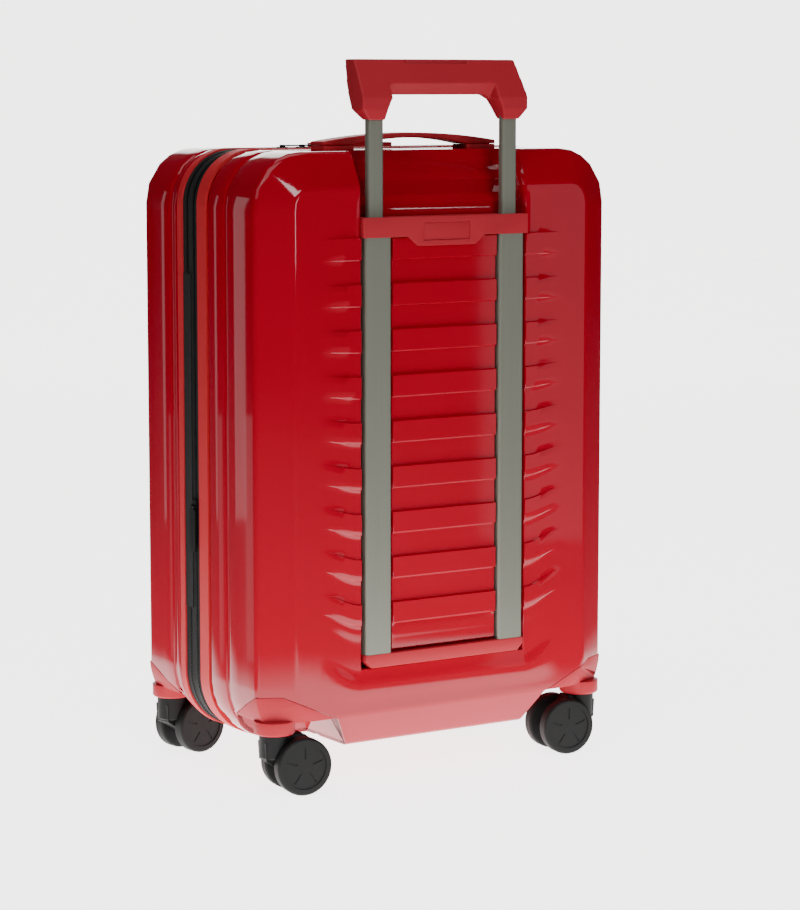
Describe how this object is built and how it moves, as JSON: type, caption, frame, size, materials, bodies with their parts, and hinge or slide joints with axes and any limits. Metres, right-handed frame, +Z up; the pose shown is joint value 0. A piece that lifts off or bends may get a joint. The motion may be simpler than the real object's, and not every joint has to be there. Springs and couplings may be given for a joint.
{
  "type": "hard shell trolley suitcase",
  "caption": "Hard shell cabin suitcase with a zipped expanding body, telescopic pull handle, top carry handle, combination lock and twin wheel swivel casters.",
  "frame": {"origin": "middle of the case on the floor under the wheels", "axes": "+Z up, -Y towards the pull handle side, X across the width"},
  "size_m": [0.3642, 0.2363, 0.622],
  "materials": {
    "shell": "high gloss",
    "trim": "matte",
    "welt": "woven binding",
    "tape": "woven tape",
    "lining": "woven",
    "tube": "anodised",
    "black_plastic": "matte",
    "caster": "matte",
    "wheel": "matte",
    "steel": "satin",
    "webbing": "woven"
  },
  "bodies": {
    "back_half": {"back_shell": "shell", "back_lining": "lining", "back_welt": "welt", "back_zip_tape": "tape", "outer_tubes": "tube", "outer_bushes": "black_plastic", "base_bar": "trim", "bezel": "trim", "bezel_plate": "trim", "carry_brackets": "trim", "guard_back_left": "trim", "guard_back_right": "trim", "packing_straps": "webbing", "strap_buckle": "black_plastic"},
    "carry_handle": {"carry_handle": "trim"},
    "middle_stage": {"middle_tubes": "tube", "middle_bushes": "black_plastic"},
    "upper_stage": {"inner_tubes": "tube", "latch_blocks": "black_plastic", "grip": "trim"},
    "button": {"grip_button": "trim", "push_yoke": "black_plastic"},
    "latches": {"latch_pins": "steel"},
    "band_frame": {"middle_tape": "tape", "gusset_sleeve": "tape", "hinge_tape": "tape"},
    "expander_slider": {"expander_slider": "black_plastic"},
    "expander_tab": {"expander_tab": "black_plastic"},
    "front_half": {"front_shell": "shell", "front_lining": "lining", "front_welt": "welt", "front_zip_tape": "tape", "guard_front_left": "trim", "guard_front_right": "trim", "lining_pocket": "lining", "lock_body": "trim"},
    "lock_dial_1": {"lock_dial_1": "black_plastic"},
    "lock_dial_2": {"lock_dial_2": "black_plastic"},
    "lock_dial_3": {"lock_dial_3": "black_plastic"},
    "lock_release": {"lock_release": "black_plastic"},
    "main_slider_1": {"main_slider_1": "black_plastic"},
    "main_slider_2": {"main_slider_2": "black_plastic"},
    "main_tab_1": {"main_tab_1": "black_plastic"},
    "main_tab_2": {"main_tab_2": "black_plastic"},
    "caster_back_left": {"caster_bracket_back_left": "caster", "caster_pins_back_left": "steel"},
    "wheel_near_back_left": {"wheel_near_back_left": "wheel"},
    "wheel_far_back_left": {"wheel_far_back_left": "wheel"},
    "caster_back_right": {"caster_bracket_back_right": "caster", "caster_pins_back_right": "steel"},
    "wheel_near_back_right": {"wheel_near_back_right": "wheel"},
    "wheel_far_back_right": {"wheel_far_back_right": "wheel"},
    "caster_front_left": {"caster_bracket_front_left": "caster", "caster_pins_front_left": "steel"},
    "wheel_near_front_left": {"wheel_near_front_left": "wheel"},
    "wheel_far_front_left": {"wheel_far_front_left": "wheel"},
    "caster_front_right": {"caster_bracket_front_right": "caster", "caster_pins_front_right": "steel"},
    "wheel_near_front_right": {"wheel_near_front_right": "wheel"},
    "wheel_far_front_right": {"wheel_far_front_right": "wheel"}
  },
  "joints": [
    {"name": "carry_lift", "type": "slide", "parent": "back_half", "child": "carry_handle", "axis": [0, 0, 1], "range_m": [0, 0.006]},
    {"name": "handle_middle", "type": "slide", "parent": "back_half", "child": "middle_stage", "axis": [0, 0, 1], "range_m": [0, 0.24]},
    {"name": "handle_upper", "type": "slide", "parent": "middle_stage", "child": "upper_stage", "axis": [0, 0, 1], "range_m": [-0.077, 0.17]},
    {"name": "grip_button", "type": "slide", "parent": "upper_stage", "child": "button", "axis": [0, 0, 1], "range_m": [-0.004, 0], "stiffness_N_per_m": 400, "springref_m": 0.002},
    {"name": "latch_pins", "type": "slide", "parent": "upper_stage", "child": "latches", "axis": [0, 1, 0], "range_m": [0, 0.001]},
    {"name": "expand", "type": "slide", "parent": "back_half", "child": "band_frame", "axis": [0, 1, 0], "range_m": [0, 0.03]},
    {"name": "case_open", "type": "hinge", "parent": "band_frame", "child": "front_half", "pos_m": [-0.183, 0.0195, 0.293], "axis": [0, 0, 1], "range_deg": [0, 180]},
    {"name": "expander_slider", "type": "slide", "parent": "band_frame", "child": "expander_slider", "axis": [0, 0, 1], "range_m": [-0.08, 0.19]},
    {"name": "expander_tab", "type": "hinge", "parent": "expander_slider", "child": "expander_tab", "pos_m": [-0.1825, 0.008, 0.237], "axis": [0, 1, 0], "range_deg": [0, 180]},
    {"name": "main_slider_1", "type": "slide", "parent": "front_half", "child": "main_slider_1", "axis": [1, 0, 0], "range_m": [-0.045, 0]},
    {"name": "main_slider_2", "type": "slide", "parent": "front_half", "child": "main_slider_2", "axis": [1, 0, 0], "range_m": [0, 0.175]},
    {"name": "main_tab_1", "type": "hinge", "parent": "main_slider_1", "child": "main_tab_1", "pos_m": [-0.084, 0.0195, 0.5475], "axis": [0, 1, 0], "range_deg": [-110, 0]},
    {"name": "main_tab_2", "type": "hinge", "parent": "main_slider_2", "child": "main_tab_2", "pos_m": [-0.064, 0.0195, 0.5475], "axis": [0, 1, 0], "range_deg": [-110, 0]},
    {"name": "lock_release", "type": "slide", "parent": "front_half", "child": "lock_release", "axis": [1, 0, 0], "range_m": [0, 0.005]},
    {"name": "lock_dial_1", "type": "hinge", "parent": "front_half", "child": "lock_dial_1", "pos_m": [-0.016, 0.0432, 0.5448], "axis": [1, 0, 0], "continuous": true},
    {"name": "lock_dial_2", "type": "hinge", "parent": "front_half", "child": "lock_dial_2", "pos_m": [-0.008, 0.0432, 0.5448], "axis": [1, 0, 0], "continuous": true},
    {"name": "lock_dial_3", "type": "hinge", "parent": "front_half", "child": "lock_dial_3", "pos_m": [0, 0.0432, 0.5448], "axis": [1, 0, 0], "continuous": true},
    {"name": "swivel_back_left", "type": "hinge", "parent": "back_half", "child": "caster_back_left", "pos_m": [-0.16, -0.092, 0.045], "axis": [0, 0, 1], "continuous": true},
    {"name": "spin_near_back_left", "type": "hinge", "parent": "caster_back_left", "child": "wheel_near_back_left", "pos_m": [-0.14015, -0.09444, 0.025], "axis": [-0.1219, -0.9925, 0], "continuous": true},
    {"name": "spin_far_back_left", "type": "hinge", "parent": "caster_back_left", "child": "wheel_far_back_left", "pos_m": [-0.14015, -0.09444, 0.025], "axis": [-0.1219, -0.9925, 0], "continuous": true},
    {"name": "swivel_back_right", "type": "hinge", "parent": "back_half", "child": "caster_back_right", "pos_m": [0.16, -0.092, 0.045], "axis": [0, 0, 1], "continuous": true},
    {"name": "spin_near_back_right", "type": "hinge", "parent": "caster_back_right", "child": "wheel_near_back_right", "pos_m": [0.14017, -0.08939, 0.025], "axis": [0.1305, 0.9914, 0], "continuous": true},
    {"name": "spin_far_back_right", "type": "hinge", "parent": "caster_back_right", "child": "wheel_far_back_right", "pos_m": [0.14017, -0.08939, 0.025], "axis": [0.1305, 0.9914, 0], "continuous": true},
    {"name": "swivel_front_left", "type": "hinge", "parent": "front_half", "child": "caster_front_left", "pos_m": [-0.16, 0.092, 0.045], "axis": [0, 0, 1], "continuous": true},
    {"name": "spin_near_front_left", "type": "hinge", "parent": "caster_front_left", "child": "wheel_near_front_left", "pos_m": [-0.1403, 0.09547, 0.025], "axis": [0.1736, -0.9848, 0], "continuous": true},
    {"name": "spin_far_front_left", "type": "hinge", "parent": "caster_front_left", "child": "wheel_far_front_left", "pos_m": [-0.1403, 0.09547, 0.025], "axis": [0.1736, -0.9848, 0], "continuous": true},
    {"name": "swivel_front_right", "type": "hinge", "parent": "front_half", "child": "caster_front_right", "pos_m": [0.16, 0.092, 0.045], "axis": [0, 0, 1], "continuous": true},
    {"name": "spin_near_front_right", "type": "hinge", "parent": "caster_front_right", "child": "wheel_near_front_right", "pos_m": [0.14011, 0.08991, 0.025], "axis": [-0.1045, 0.9945, 0], "continuous": true},
    {"name": "spin_far_front_right", "type": "hinge", "parent": "caster_front_right", "child": "wheel_far_front_right", "pos_m": [0.14011, 0.08991, 0.025], "axis": [-0.1045, 0.9945, 0], "continuous": true}
  ],
  "couplings": [
    {"joint": "latch_pins", "follows": "grip_button", "ratio": -0.25}
  ]
}
